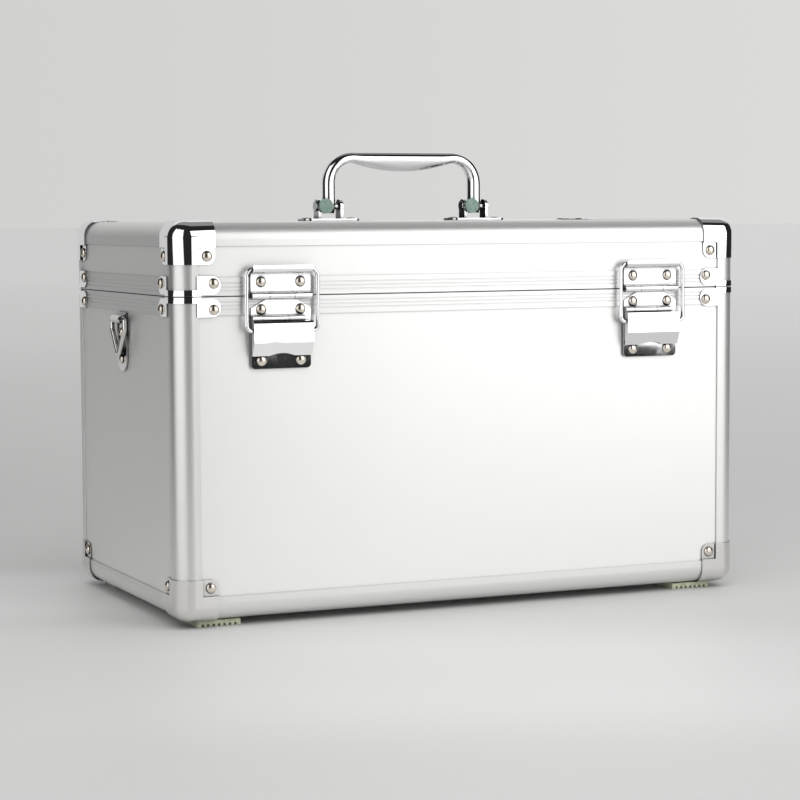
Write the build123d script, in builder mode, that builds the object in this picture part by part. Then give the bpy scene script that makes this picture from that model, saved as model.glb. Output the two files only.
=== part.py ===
from build123d import *
import os
from math import cos, radians, sin

# A hard-sided carrying box with an edge frame of rounded extrusions, a hinged lid, two over-centre
# latches, a folding handle, two side rings, and two trays inside.  The upper tray rides on four arms
# that the lid lifts.  Lengths are millimetres.  X is the width, -Y the front, +Z up, and the origin
# is on the floor under the middle of the box.

# Overall sizes
box_width = 380.0
box_depth = 206.0
body_height = 191.0
lid_height = 43.5
foot_height = 4.5
parting_gap = 0.6
overrun = 1.0

# Edge extrusion: a quarter round with a flange over each of the two panels it joins
edge_radius = 10.4
edge_cover = 14.2
edge_skin = 1.0
panel_thickness = 4.0
panel_inset = 9.0
inner_cover = 12.0
inner_skin = 1.2

# Rim extrusion: a channel along the parting line
rim_height = 10.8
rim_web = 2.0
rib_depth = 0.35
rib_width = 0.7
rib_first = 3.0
rib_pitch = 2.2
rib_count = 3

# Corner pieces and rivets
cap_proud = 0.8
cap_edge_radius = 9.6
seat_gap = 0.15
riser_wall = 0.6
tab_face = 0.2
tab_end = 25.0
tab_round = 5.0
rivet_radius = 2.9
rivet_height = 1.3
band_reach = 16.0
bracket_start = 13.2
bracket_end = 27.6
bracket_height = 11.6
bracket_radius = 5.0
bracket_edge = 0.8
bracket_rivet = 23.6
tab_rivet_shift = 0.4
rim_rivet_shift = 1.2
band_height = 3.6

# Feet
foot_length = 27.0
foot_depth = 20.0
foot_x = 162.0
foot_y = 84.0
foot_notch_width = 1.4
foot_notch_depth = 1.5
foot_notch_pitch = 3.4
foot_notch_count = 7

# Linings
lining_thickness = inner_skin
mat_thickness = 3.0
mat_margin = 14.5

# Latches
latch_x = 125.0
latch_width = 37.6
latch_plate = 1.2
strike_bottom = 2.6
strike_top = 13.4
hook_offset = 3.5
hook_radius = 1.9
hook_wall = 0.9
hook_z = 16.1
hook_lip_top = 18.0
wire_radius = 1.2
bail_gap = 2.4
bail_top_bend = 5.0
bail_low_bend = 3.4
bail_end_gap = 0.4
guide_radius = 2.2
guide_offset = 2.4
guide_split = 8.0
root_gap = 0.2
root_reach = 0.8
base_neck_half = 9.5
base_shoulder_z = -7.5
base_bottom = -43.0
base_corner_radius = 2.5
latch_rivet_x = 12.4
latch_rivet_z = (-8.0, -38.0)
strike_rivet_z = 8.2
lever_axis_z = -13.2
lever_axis_offset = 3.2
lever_pin_radius = 0.9
lever_barrel_radius = 1.7
lever_sheet = 1.1
lever_face = 6.6
lever_top = -15.6
lever_bend = -27.6
lever_tail_z = -35.4
lever_tail_face = 3.3
bail_pivot_z = -20.6
bail_pivot_offset = 4.1
lever_side_back = 2.2
lever_root_out = 0.9
lever_root_drop = 1.3
lever_shoulder = 0.6
flange_inset = 0.2
flange_root_drop = 1.5
flange_tail_rise = 3.0
base_knuckle = (-12.4, 3.6)
base_knuckle_half_height = 1.2
lever_knuckle_end = 14.1
lever_pin_recess = 0.2
tail_arch_radius = 20.0
tail_arch_rise = 1.6
pin_clearance = 0.05
face_clearance = 0.3

# Handle
handle_half_span = 51.6
handle_rise = 31.0
handle_pivot_height = 10.4
handle_leg_width = 7.6
handle_leg_depth = 9.4
handle_bend_radius = 20.0
grip_belly = 5.0
grip_thickness = 7.4
handle_plate_length = 38.0
handle_plate_width = 18.0
handle_plate_thickness = 2.4
handle_plate_corner = 4.0
handle_rivet_x = 15.2
ear_gap = 2.9
ear_thickness = 1.8
ear_half_depth = 4.4
handle_pin_radius = 2.0
pin_head_radius = 3.2
pin_head_height = 1.0
pad_radius = 4.7
pad_thickness = 2.0
pad_shift = -3.9

# Side rings
ring_plate_half_width = 9.0
ring_plate_top = -12.2
ring_plate_bottom = -48.5
ring_plate_thickness = 1.4
ring_plate_corner = 2.0
ring_plate_end = 8.6
ring_wire_radius = 1.5
ring_axis_z = -16.0
ring_axis_offset = 3.6
ring_half_width = 13.0
ring_shoulder = 6.5
ring_drop = 22.0
ring_toe = 1.4
ring_bend = 2.6
ring_strap_half_width = 8.0
ring_strap_wall = 1.3
ring_rivet_z = (-24.5, -41.0)
side_rivet_radius = 2.6

# Rear hinges
hinge_x = 118.0
hinge_length = 60.0
hinge_offset = 3.4
hinge_radius = 3.2
hinge_pin_radius = 1.5
leaf_thickness = 1.4
hinge_leaf_height = 16.0
hinge_leaf_start = 3.6
hinge_gap = 0.4
hinge_rivet_z = 10.0
hinge_rivet_pitch = 20.0

# Tray lift: arm pivots measured forward of and above the lid hinge axis
arm_pivot_forward = 42.0
arm_pivot_up = -10.0
arm_length = 76.0
arm_rest_angle = 30.0
arm_spacing = 72.0
arm_half_width = 6.0
arm_thickness = 1.8
crank_forward = 45.0
crank_up = 14.0
stud_radius = 2.5
collar_radius = 4.0
open_clearance = 0.3
layer_gap = 0.2
wall_gap = 0.4

# Trays
tray_rear_gap = 2.1
tray_nose = 6.2
tray_top = -6.0
tray_skirt = 6.0
tray_wall = 1.8
tray_side_gap = 0.6
tray_corner = 3.0
divider_thickness = 1.4
divider_drop = 4.0
divider_clearance = 0.1
trough_depth = 46.0
tray_cells = 5
lower_tray_gap = 4.5
lower_tray_height = 62.0
lower_cells = 4

# Values that follow from the sizes above
half_width = box_width / 2
half_depth = box_depth / 2
box_bottom = foot_height
parting = foot_height + body_height
box_top = parting + lid_height
box_middle = (box_bottom + box_top) / 2
panel_face_x = half_width - edge_skin
panel_face_y = half_depth - edge_skin
inner_x = half_width - edge_skin - panel_thickness - inner_skin
inner_y = half_depth - edge_skin - panel_thickness - inner_skin
body_rim_top = parting - parting_gap / 2
lid_rim_bottom = parting + parting_gap / 2
hinge_y = half_depth + hinge_offset
floor_top = box_bottom + edge_skin + panel_thickness
mat_top = floor_top + mat_thickness

os.makedirs("parts", exist_ok=True)


def save(part, name):
    """Label one finished piece and write it to its own file."""
    part.label = name
    export_step(part, f"parts/{name}.step")


def block(x, y, z):
    """A box from its limits along each axis, as a part."""
    with BuildPart() as result:
        with Locations(((x[0] + x[1]) / 2, (y[0] + y[1]) / 2, (z[0] + z[1]) / 2)):
            Box(x[1] - x[0], y[1] - y[0], z[1] - z[0])
    return result.part


def four_corners(part):
    """The part at the front left corner, mirrored to the other three."""
    with BuildPart() as result:
        add(part)
        mirror(about=Plane.YZ)
        mirror(about=Plane.XZ)
    return result.part


def both_sides(part):
    """The part on the left, and its mirror image on the right."""
    with BuildPart() as result:
        add(part)
        mirror(about=Plane.YZ)
    return result.part


def front_and_rear(part):
    """The part on the front, and its mirror image on the rear."""
    with BuildPart() as result:
        add(part)
        mirror(about=Plane.XZ)
    return result.part


def edge_sketch(plane):
    """The edge extrusion's section: the corner is the plane's origin, the panels run along its axes."""
    reach = edge_skin + panel_thickness
    arc_middle = edge_radius * (1 - cos(radians(45)))
    with BuildSketch(plane) as section:
        with BuildLine():
            Polyline((edge_radius, 0), (edge_cover, 0), (edge_cover, edge_skin), (panel_inset, edge_skin),
                     (panel_inset, reach), (inner_cover, reach), (inner_cover, reach + inner_skin),
                     (reach + inner_skin, inner_cover), (reach, inner_cover), (reach, panel_inset),
                     (edge_skin, panel_inset), (edge_skin, edge_cover), (0, edge_cover), (0, edge_radius))
            ThreePointArc((0, edge_radius), (arc_middle, arc_middle), (edge_radius, 0))
        make_face()
    return section.sketch


def edge_bar(plane, length):
    """A straight length of the edge extrusion along the plane's normal."""
    with BuildPart() as bar:
        extrude(edge_sketch(plane), amount=length)
    return bar.part


def dome(radius, height):
    """A rivet head standing on the XY plane: the top of a sphere."""
    sphere_radius = (radius ** 2 + height ** 2) / (2 * height)
    with BuildPart() as head:
        with Locations((0, 0, height - sphere_radius)):
            Sphere(sphere_radius)
        with Locations((0, 0, -sphere_radius)):
            Box(4 * sphere_radius, 4 * sphere_radius, 2 * sphere_radius, mode=Mode.SUBTRACT)
    return head.part


def placed(part, locations):
    """One group holding a copy of the part at every location."""
    with BuildPart() as group:
        with Locations(*locations):
            add(part)
    return group.part


FRONT = (90, 0, 0)
REAR = (-90, 0, 0)
LEFT = (0, -90, 0)
RIGHT = (0, 90, 0)
rivet = dome(rivet_radius, rivet_height)

# Flat panels, each held in the slots of the edge extrusions and the rim channels
body_panel_z = (box_bottom + panel_inset, body_rim_top - rim_web)
lid_panel_z = (lid_rim_bottom + rim_web, box_top - panel_inset)
panel_x = (-half_width + panel_inset, half_width - panel_inset)
panel_y = (-half_depth + panel_inset, half_depth - panel_inset)
front_sheet = (-panel_face_y, -panel_face_y + panel_thickness)
rear_sheet = (panel_face_y - panel_thickness, panel_face_y)
left_sheet = (-panel_face_x, -panel_face_x + panel_thickness)
right_sheet = (panel_face_x - panel_thickness, panel_face_x)

panels = {}
for part_name, height in (("body", body_panel_z), ("lid", lid_panel_z)):
    panels[f"{part_name}_front_panel"] = block(panel_x, front_sheet, height)
    panels[f"{part_name}_rear_panel"] = block(panel_x, rear_sheet, height)
    panels[f"{part_name}_left_panel"] = block(left_sheet, panel_y, height)
    panels[f"{part_name}_right_panel"] = block(right_sheet, panel_y, height)
panels["body_bottom_panel"] = block(panel_x, panel_y,
                                    (box_bottom + edge_skin, box_bottom + edge_skin + panel_thickness))
panels["lid_top_panel"] = block(panel_x, panel_y,
                                (box_top - edge_skin - panel_thickness, box_top - edge_skin))
for panel_name, panel in panels.items():
    save(panel, panel_name)

# Corner posts: the edge extrusion standing upright at each corner of the body and of the lid
front_left = (-half_width, -half_depth)
body_post_z = (box_bottom + edge_cover, body_rim_top)
lid_post_z = (lid_rim_bottom, box_top - edge_cover)
for part_name, (low, high) in (("body", body_post_z), ("lid", lid_post_z)):
    post = edge_bar(Plane(origin=(*front_left, low), x_dir=(1, 0, 0), z_dir=(0, 0, 1)), high - low)
    save(four_corners(post), f"{part_name}_corner_posts")

# Trims: the same extrusion along the four bottom edges and the four top edges
for trim_name, level, up in (("body_bottom_trims", box_bottom, 1), ("lid_top_trims", box_top, -1)):
    run_x = box_width - 2 * edge_cover
    run_y = box_depth - 2 * edge_cover
    along_x = Plane(origin=(-up * run_x / 2, -half_depth, level), x_dir=(0, 1, 0), z_dir=(up, 0, 0))
    along_y = Plane(origin=(-half_width, up * run_y / 2, level), x_dir=(1, 0, 0), z_dir=(0, -up, 0))
    with BuildPart() as trims:
        add(front_and_rear(edge_bar(along_x, run_x)))
        add(both_sides(edge_bar(along_y, run_y)))
    save(trims.part, trim_name)


def rim_bar(length, up):
    """A rim channel along X with its mouth towards -Z or +Z, ribbed outside; y = 0 is its outer face."""
    depth = edge_skin + panel_thickness + inner_skin
    with BuildPart() as bar:
        with BuildSketch(Plane.YZ.offset(-length / 2)):
            with BuildLine():
                Polyline((0, 0), (depth, 0), (depth, -up * rim_height),
                         (depth - inner_skin, -up * rim_height), (depth - inner_skin, -up * rim_web),
                         (edge_skin, -up * rim_web),
                         (edge_skin, -up * rim_height), (0, -up * rim_height), close=True)
            make_face()
            with Locations(*[(rib_depth / 2, -up * (rib_first + index * rib_pitch))
                             for index in range(rib_count)]):
                Rectangle(rib_depth, rib_width, mode=Mode.SUBTRACT)
        extrude(amount=length)
    return bar.part


# Rims: channels along the parting line between the corner posts
for rim_name, level, up in (("body_rim", body_rim_top, 1), ("lid_rim", lid_rim_bottom, -1)):
    long_rim = rim_bar(box_width - 2 * edge_cover, up)
    short_rim = rim_bar(box_depth - 2 * edge_cover, up)
    with BuildPart() as rims:
        with Locations(Location((0, -half_depth, level)),
                       Location((0, half_depth, level), (0, 0, 180))):
            add(long_rim)
        with Locations(Location((-half_width, 0, level), (0, 0, -90)),
                       Location((half_width, 0, level), (0, 0, 90))):
            add(short_rim)
    save(rims.part, rim_name)

# The whole closed outline, used to cut what lies on the outside
with BuildPart() as outline:
    with Locations((0, 0, box_middle)):
        Box(box_width, box_depth, box_top - box_bottom)
    fillet(outline.edges(), radius=edge_radius)


def corner_block(level, up, x, y, z):
    """A block from its distances inward from the front left corner of the outline."""
    return block((-half_width + x[0], -half_width + x[1]), (-half_depth + y[0], -half_depth + y[1]),
                 sorted((level + up * z[0], level + up * z[1])))


def face_block(level, up, depth_index, skin, first, second):
    """A block on one of the corner's three faces: its depth, then its two spans along the face."""
    spans = [first, second]
    spans.insert(depth_index, skin)
    return corner_block(level, up, *spans)


def corner_tab(level, up, depth_index, span):
    """The flat tab beside the shell on one face, rounded where it points away from the corner."""
    with BuildPart() as tab:
        add(face_block(level, up, depth_index, (tab_face, edge_skin), span, span))
        corner_edges = tab.edges().filter_by((Axis.X, Axis.Y, Axis.Z)[depth_index])
        fillet(corner_edges.sort_by_distance((-half_width, -half_depth, level))[-1], radius=tab_round)
    return tab.part


def rounded_shell(level, up):
    """A block over the front left corner, standing proud of the outline, with its outer edges rounded."""
    span = (-cap_proud, tab_end)
    with BuildPart() as shell:
        add(corner_block(level, up, span, span, span))
        upright = shell.edges().filter_by(Axis.Z).sort_by(Axis.X)[:2].sort_by(Axis.Y)[:1]
        fillet(upright, radius=edge_radius + cap_proud)
        end_face = shell.faces().sort_by(Axis.Z)[0 if up > 0 else -1]
        inner_edges = end_face.edges().sort_by(Axis.X)[-1:] + end_face.edges().sort_by(Axis.Y)[-1:]
        fillet([edge for edge in end_face.edges() if edge not in inner_edges], radius=cap_edge_radius)
    return shell.part


def corner_cap(level, up):
    """A corner piece: the filled corner, a proud shell over the flanges, and a lower tab on each face."""
    clear = edge_skin + panel_thickness + inner_skin
    seat_start = edge_cover + seat_gap
    shell_skin = (-cap_proud, edge_skin)
    pocket_skin = (-cap_proud - overrun, tab_face)
    tab_span = (seat_start, tab_end)
    riser_span = (seat_start, seat_start + riser_wall)
    pocket_span = (seat_start + riser_wall, tab_end + overrun)
    inner_span = (clear, tab_end + overrun)
    corner_span = (-overrun, edge_cover)
    with BuildPart() as neighbours:
        add(outline.part)
        add(corner_block(level, up, corner_span, corner_span, corner_span), mode=Mode.SUBTRACT)
    with BuildPart() as cap:
        add(rounded_shell(level, up))
        add(neighbours.part, mode=Mode.SUBTRACT)
        for name in ("front_panel", "left_panel"):
            add(panels[("body_" if up > 0 else "lid_") + name], mode=Mode.SUBTRACT)
        add(panels["body_bottom_panel" if up > 0 else "lid_top_panel"], mode=Mode.SUBTRACT)
        add(corner_block(level, up, inner_span, inner_span, inner_span), mode=Mode.SUBTRACT)
        for depth_index in range(3):
            add(face_block(level, up, depth_index, pocket_skin, pocket_span, pocket_span), mode=Mode.SUBTRACT)
            add(corner_tab(level, up, depth_index, tab_span))
            add(face_block(level, up, depth_index, shell_skin, riser_span, tab_span))
            add(face_block(level, up, depth_index, shell_skin, tab_span, riser_span))
    return cap.part


save(four_corners(corner_cap(box_bottom, 1)), "body_bottom_corners")
save(four_corners(corner_cap(box_top, -1)), "lid_top_corners")


def rim_bracket(level, up):
    """A corner bracket at the parting line: a band round the post and a rounded plate on each face."""
    band = sorted((level, level - up * band_height))
    plate_z = sorted((level - up * bracket_edge, level - up * bracket_height))
    with BuildPart() as bracket:
        reach = band_reach + cap_proud
        with BuildSketch(Plane.XY.offset(band[0])):
            with Locations((-half_width - cap_proud + reach / 2, -half_depth - cap_proud + reach / 2)):
                Rectangle(reach, reach)
        extrude(amount=band[1] - band[0])
        fillet(bracket.edges().filter_by(Axis.Z).sort_by(Axis.X)[:2].sort_by(Axis.Y)[:1],
               radius=edge_radius + cap_proud)
        add(block((-half_width + bracket_start, -half_width + bracket_end),
                  (-half_depth - cap_proud, -half_depth), plate_z))
        fillet(bracket.edges().filter_by(Axis.Y).sort_by(Axis.X)[-2:], radius=bracket_radius)
        add(block((-half_width - cap_proud, -half_width),
                  (-half_depth + bracket_start, -half_depth + bracket_end), plate_z))
        fillet(bracket.edges().filter_by(Axis.X).sort_by(Axis.Y)[-2:], radius=bracket_radius)
        add(outline.part, mode=Mode.SUBTRACT)
    return bracket.part


save(four_corners(rim_bracket(body_rim_top, 1)), "body_rim_brackets")
save(four_corners(rim_bracket(lid_rim_bottom, -1)), "lid_rim_brackets")


def corner_rivets(distance_x, distance_y, level, proud):
    """Rivet heads on the front, rear, left and right, the same distance from every corner."""
    spots = []
    for side in (-1, 1):
        x_near = side * (half_width - distance_x)
        y_near = side * (half_depth - distance_y)
        spots.append(Location((x_near, -half_depth - proud, level), FRONT))
        spots.append(Location((x_near, half_depth + proud, level), REAR))
        spots.append(Location((-half_width - proud, y_near, level), LEFT))
        spots.append(Location((half_width + proud, y_near, level), RIGHT))
    return placed(rivet, spots)


tab_middle = (edge_cover + tab_end) / 2 + tab_rivet_shift
flat_corners = [(side_x * (half_width - tab_middle), side_y * (half_depth - tab_middle))
                for side_x in (-1, 1) for side_y in (-1, 1)]
rim_rivet_drop = (bracket_edge + bracket_height) / 2 + rim_rivet_shift
with BuildPart() as body_rivets:
    add(corner_rivets(tab_middle, tab_middle, box_bottom + tab_middle, -tab_face))
    add(corner_rivets(bracket_rivet, bracket_rivet, body_rim_top - rim_rivet_drop, cap_proud))
with BuildPart() as lid_rivets:
    add(corner_rivets(tab_middle, tab_middle, box_top - tab_middle, -tab_face))
    add(corner_rivets(bracket_rivet, bracket_rivet, lid_rim_bottom + rim_rivet_drop, cap_proud))
    add(placed(rivet, [Location((x, y, box_top - tab_face)) for x, y in flat_corners]))

# Feet: ribbed blocks that stand under the bottom corner pieces
foot_top = box_bottom - cap_proud
with BuildPart() as foot:
    with Locations((-foot_x, -foot_y, foot_top / 2)):
        Box(foot_length, foot_depth, foot_top)
    with Locations(*[(-foot_x + (index - (foot_notch_count - 1) / 2) * foot_notch_pitch, -foot_y,
                      foot_notch_depth / 2) for index in range(foot_notch_count)]):
        Box(foot_notch_width, foot_depth + overrun, foot_notch_depth, mode=Mode.SUBTRACT)
save(four_corners(foot.part), "feet")

# Linings: thin sheets on the inner faces, a mat on the floor and a pad in the lid
lining_x = (-half_width + edge_cover, half_width - edge_cover)
lining_y = (-half_depth + edge_cover, half_depth - edge_cover)
body_lining_z = (box_bottom + edge_cover, body_rim_top - rim_height)
lid_lining_z = (lid_rim_bottom + rim_height, box_top - edge_cover)
for lining_name, height in (("body_wall_lining", body_lining_z), ("lid_wall_lining", lid_lining_z)):
    with BuildPart() as lining:
        add(front_and_rear(block(lining_x, (-inner_y - lining_thickness, -inner_y), height)))
        add(both_sides(block((-inner_x - lining_thickness, -inner_x), lining_y, height)))
    save(lining.part, lining_name)
mat_x = (-half_width + mat_margin, half_width - mat_margin)
mat_y = (-half_depth + mat_margin, half_depth - mat_margin)
save(block(mat_x, mat_y, (floor_top, mat_top)), "floor_mat")
lid_ceiling = box_top - edge_skin - panel_thickness
save(block(mat_x, mat_y, (lid_ceiling - mat_thickness, lid_ceiling)), "lid_pad")


def tube_x(x, y, z, radius, hole=0.0):
    """A cylinder along X between two x values, with an optional bore."""
    with BuildPart() as result:
        with BuildSketch(Plane.YZ.offset(min(x))):
            with Locations((y, z)):
                Circle(radius)
                if hole > 0:
                    Circle(hole, mode=Mode.SUBTRACT)
        extrude(amount=abs(x[1] - x[0]))
    return result.part


# Latches, drawn about x = 0 and then set at each side
latch_half = latch_width / 2
lever_inner = latch_half - lever_sheet
front_y = -half_depth


def latch_point(out, up):
    """A point in the YZ plane measured out from the front face and up from the parting line."""
    return front_y - out, parting + up


hook_axis = latch_point(hook_offset, hook_z)
lever_axis = latch_point(lever_axis_offset, lever_axis_z)
hook_reach = hook_radius + hook_wall
hook_face_y = (hook_axis[0] - hook_reach, hook_axis[0] - hook_radius)
hook_back_y = (hook_axis[0] + hook_radius, hook_axis[0] + hook_reach)
strike_top_z = (parting + strike_top - latch_plate, parting + hook_z)
plate_y = (front_y - latch_plate, front_y)
root_y = (front_y - latch_plate, front_y - root_gap)
with BuildPart() as strike:
    add(block((-latch_half, latch_half), plate_y, (parting + strike_bottom, parting + strike_top)))
    with BuildSketch(Plane.YZ.offset(-latch_half)):
        with Locations(hook_axis):
            Circle(hook_reach)
            Circle(hook_radius, mode=Mode.SUBTRACT)
            with Locations((0, hook_reach)):
                Rectangle(4 * hook_radius, 2 * hook_reach, mode=Mode.SUBTRACT)
    extrude(amount=latch_width)
    add(block((-latch_half, latch_half), hook_face_y, (parting + hook_z, parting + hook_lip_top)))
    add(block((-latch_half, latch_half), hook_back_y, strike_top_z))
    add(block((-latch_half, latch_half), plate_y, strike_top_z))
    for side in (-1, 1):
        ends = sorted((side * guide_split, side * latch_half))
        add(tube_x(ends, front_y - guide_offset, parting, guide_radius))
        add(block(ends, root_y, (parting + root_reach, parting + strike_bottom)))

with BuildPart() as base_plate:
    with BuildSketch(Plane.XZ.offset(-front_y)):
        with BuildLine():
            neck = parting - guide_radius
            shoulder = parting + base_shoulder_z
            bottom = parting + base_bottom
            Polyline((-base_neck_half, neck), (base_neck_half, neck), (latch_half, shoulder),
                     (latch_half, bottom), (-latch_half, bottom), (-latch_half, shoulder), close=True)
        make_face()
    extrude(amount=latch_plate)
    fillet(base_plate.edges().filter_by(Axis.Y).sort_by(Axis.Z)[:2], radius=base_corner_radius)
    middle_x = (-guide_split + face_clearance, guide_split - face_clearance)
    add(tube_x(middle_x, front_y - guide_offset, parting, guide_radius))
    add(block(middle_x, root_y, (neck - root_reach, parting - root_reach)))
    add(tube_x(base_knuckle, *lever_axis, lever_barrel_radius, lever_pin_radius + pin_clearance))
    knuckle_back_y = (lever_axis[0] + lever_pin_radius + pin_clearance + root_gap, plate_y[0] + root_gap)
    add(block(base_knuckle, knuckle_back_y,
              (lever_axis[1] - base_knuckle_half_height, lever_axis[1] + base_knuckle_half_height)))

# Lever: a folded sheet from its barrel down to the tail, with a flange along each side
lever_line = (latch_point(lever_axis_offset + lever_root_out, lever_axis_z - lever_root_drop),
              latch_point(lever_face - lever_shoulder, lever_top + lever_shoulder),
              latch_point(lever_face, lever_top - lever_shoulder),
              latch_point(lever_face, lever_bend),
              latch_point(lever_tail_face, lever_tail_z))
flange_line = (latch_point(lever_axis_offset, lever_axis_z - flange_root_drop),
               latch_point(lever_face - flange_inset, lever_top - lever_shoulder),
               latch_point(lever_face - flange_inset, lever_bend),
               latch_point(lever_tail_face - flange_inset, lever_tail_z + lever_shoulder),
               latch_point(lever_side_back, lever_tail_z + flange_tail_rise),
               latch_point(lever_side_back, lever_axis_z - flange_root_drop))
with BuildPart() as lever:
    for ends in ((-latch_half, base_knuckle[0] - face_clearance),
                 (base_knuckle[1] + face_clearance, lever_knuckle_end)):
        add(tube_x(ends, *lever_axis, lever_barrel_radius, lever_pin_radius + pin_clearance))
    with BuildSketch(Plane.YZ.offset(-latch_half)):
        with BuildLine():
            Polyline(*lever_line)
            offset(amount=lever_sheet, side=Side.LEFT)
        make_face()
    extrude(amount=latch_width)
    for start in (-latch_half, lever_inner):
        with BuildSketch(Plane.YZ.offset(start)):
            with BuildLine():
                Polyline(*flange_line, close=True)
            make_face()
            with Locations(latch_point(bail_pivot_offset, bail_pivot_z)):
                Circle(wire_radius + pin_clearance, mode=Mode.SUBTRACT)
        extrude(amount=lever_sheet)
    with BuildSketch(Plane.XZ.offset(-front_y)):
        with Locations((0, parting + lever_tail_z + tail_arch_rise - tail_arch_radius)):
            Circle(tail_arch_radius)
    extrude(amount=lever_face, mode=Mode.SUBTRACT)
    clear_knuckle = (base_knuckle[0] - face_clearance, base_knuckle[1] + face_clearance)
    add(tube_x(clear_knuckle, *lever_axis, lever_barrel_radius + face_clearance), mode=Mode.SUBTRACT)

bail_x = latch_half + bail_gap + wire_radius
bail_top = parting + hook_z
bail_low = parting + bail_pivot_z
bail_lean = hook_offset - bail_pivot_offset
with BuildPart() as bail:
    bail_plane = Plane(origin=(0, front_y - bail_pivot_offset, bail_low), x_dir=(1, 0, 0),
                       z_dir=(0, -(bail_top - bail_low), -bail_lean))
    bail_height = ((bail_top - bail_low) ** 2 + bail_lean ** 2) ** 0.5
    with BuildLine(bail_plane) as bail_path:
        FilletPolyline((-lever_inner + bail_end_gap, 0), (-bail_x, 0), (-bail_x, bail_height),
                       (bail_x, bail_height), (bail_x, 0), (lever_inner - bail_end_gap, 0),
                       radius=(bail_low_bend, bail_top_bend, bail_top_bend, bail_low_bend))
    with BuildSketch(Plane(origin=bail_path.line @ 0, z_dir=bail_path.line % 0)):
        Circle(wire_radius)
    sweep(path=bail_path.line)

with BuildPart() as lever_pin:
    add(tube_x((-latch_half + lever_pin_recess, lever_knuckle_end - lever_pin_recess), *lever_axis,
               lever_pin_radius))

for side_name, side in (("left", -1), ("right", 1)):
    spot = [Location((side * latch_x, 0, 0))]
    save(placed(strike.part, spot), f"strike_plate_{side_name}")
    save(placed(base_plate.part, spot), f"latch_base_{side_name}")
    save(placed(lever.part, spot), f"latch_lever_{side_name}")
    save(placed(lever_pin.part, spot), f"lever_pin_{side_name}")
    save(placed(bail.part, spot), f"latch_bail_{side_name}")

latch_sides = [side * latch_x + rivet_side * latch_rivet_x for side in (-1, 1) for rivet_side in (-1, 1)]
latch_face = front_y - latch_plate
strike_spots = [Location((x, latch_face, parting + strike_rivet_z), FRONT) for x in latch_sides]
base_spots = [Location((x, latch_face, parting + z), FRONT) for x in latch_sides for z in latch_rivet_z]

# Handle: a bent bar with a fuller middle, pinned between the ears of two brackets on the lid
lid_face = box_top - edge_skin
pivot_z = lid_face + handle_pivot_height
grip_z = pivot_z + handle_rise
with BuildPart() as handle:
    with BuildSketch(Plane.XZ.offset(-handle_leg_depth / 2)):
        leg = handle_leg_width / 2
        outer_x = handle_half_span + leg
        inner_leg = handle_half_span - leg
        grip_top = grip_z + grip_thickness / 2
        grip_under = grip_z - grip_thickness / 2
        inner_bend = handle_bend_radius - handle_leg_width
        with BuildLine():
            Polyline((-inner_leg, pivot_z), (-outer_x, pivot_z), (-outer_x, grip_top - handle_bend_radius))
            RadiusArc((-outer_x, grip_top - handle_bend_radius), (-outer_x + handle_bend_radius, grip_top),
                      handle_bend_radius)
            Line((-outer_x + handle_bend_radius, grip_top), (outer_x - handle_bend_radius, grip_top))
            RadiusArc((outer_x - handle_bend_radius, grip_top), (outer_x, grip_top - handle_bend_radius),
                      handle_bend_radius)
            Polyline((outer_x, grip_top - handle_bend_radius), (outer_x, pivot_z), (inner_leg, pivot_z),
                     (inner_leg, grip_under - inner_bend))
            RadiusArc((inner_leg, grip_under - inner_bend), (inner_leg - inner_bend, grip_under),
                      -inner_bend)
            ThreePointArc((inner_leg - inner_bend, grip_under), (0, grip_under - grip_belly),
                          (-inner_leg + inner_bend, grip_under))
            RadiusArc((-inner_leg + inner_bend, grip_under), (-inner_leg, grip_under - inner_bend),
                      -inner_bend)
            Line((-inner_leg, grip_under - inner_bend), (-inner_leg, pivot_z))
        make_face()
    extrude(amount=handle_leg_depth)
    for side in (-1, 1):
        ends = sorted((side * inner_leg, side * outer_x))
        add(tube_x(ends, 0, pivot_z, handle_leg_depth / 2))
    add(tube_x((-outer_x - overrun, outer_x + overrun), 0, pivot_z, handle_pin_radius + pin_clearance),
        mode=Mode.SUBTRACT)

with BuildPart() as bracket:
    with Locations((0, 0, lid_face + handle_plate_thickness / 2)):
        Box(handle_plate_length, handle_plate_width, handle_plate_thickness)
    fillet(bracket.edges().filter_by(Axis.Z), radius=handle_plate_corner)
    ear_start = handle_leg_width / 2 + ear_gap
    ear_outer = ear_start + ear_thickness
    for ends in ((-ear_outer, -ear_start), (ear_start, ear_outer)):
        add(block(ends, (-ear_half_depth, ear_half_depth), (lid_face + handle_plate_thickness, pivot_z)))
        add(tube_x(ends, 0, pivot_z, ear_half_depth))
    add(tube_x((-ear_outer - overrun, ear_outer + overrun), 0, pivot_z, handle_pin_radius),
        mode=Mode.SUBTRACT)

with BuildPart() as handle_pin:
    add(tube_x((-ear_outer, ear_outer), 0, pivot_z, handle_pin_radius))
    add(tube_x((-ear_outer - pin_head_height, -ear_outer), 0, pivot_z, pin_head_radius))
    add(tube_x((ear_outer, ear_outer + pin_head_height), 0, pivot_z, pin_head_radius))

with BuildPart() as pad:
    with Locations(Location((0, 0, pivot_z), FRONT)):
        with Locations((0, 0, handle_leg_depth / 2 + pad_thickness / 2)):
            Cylinder(pad_radius, pad_thickness)

feet_x = (-handle_half_span, handle_half_span)
save(handle.part, "handle")
save(placed(bracket.part, [Location((x, 0, 0)) for x in feet_x]), "handle_brackets")
save(placed(handle_pin.part, [Location((x, 0, 0)) for x in feet_x]), "handle_pins")
save(placed(pad.part, [Location((x + pad_shift, 0, 0)) for x in feet_x]), "handle_pads")
plate_face = lid_face + handle_plate_thickness
handle_spots = [Location((x + side * handle_rivet_x, 0, plate_face)) for x in feet_x for side in (-1, 1)]

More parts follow.
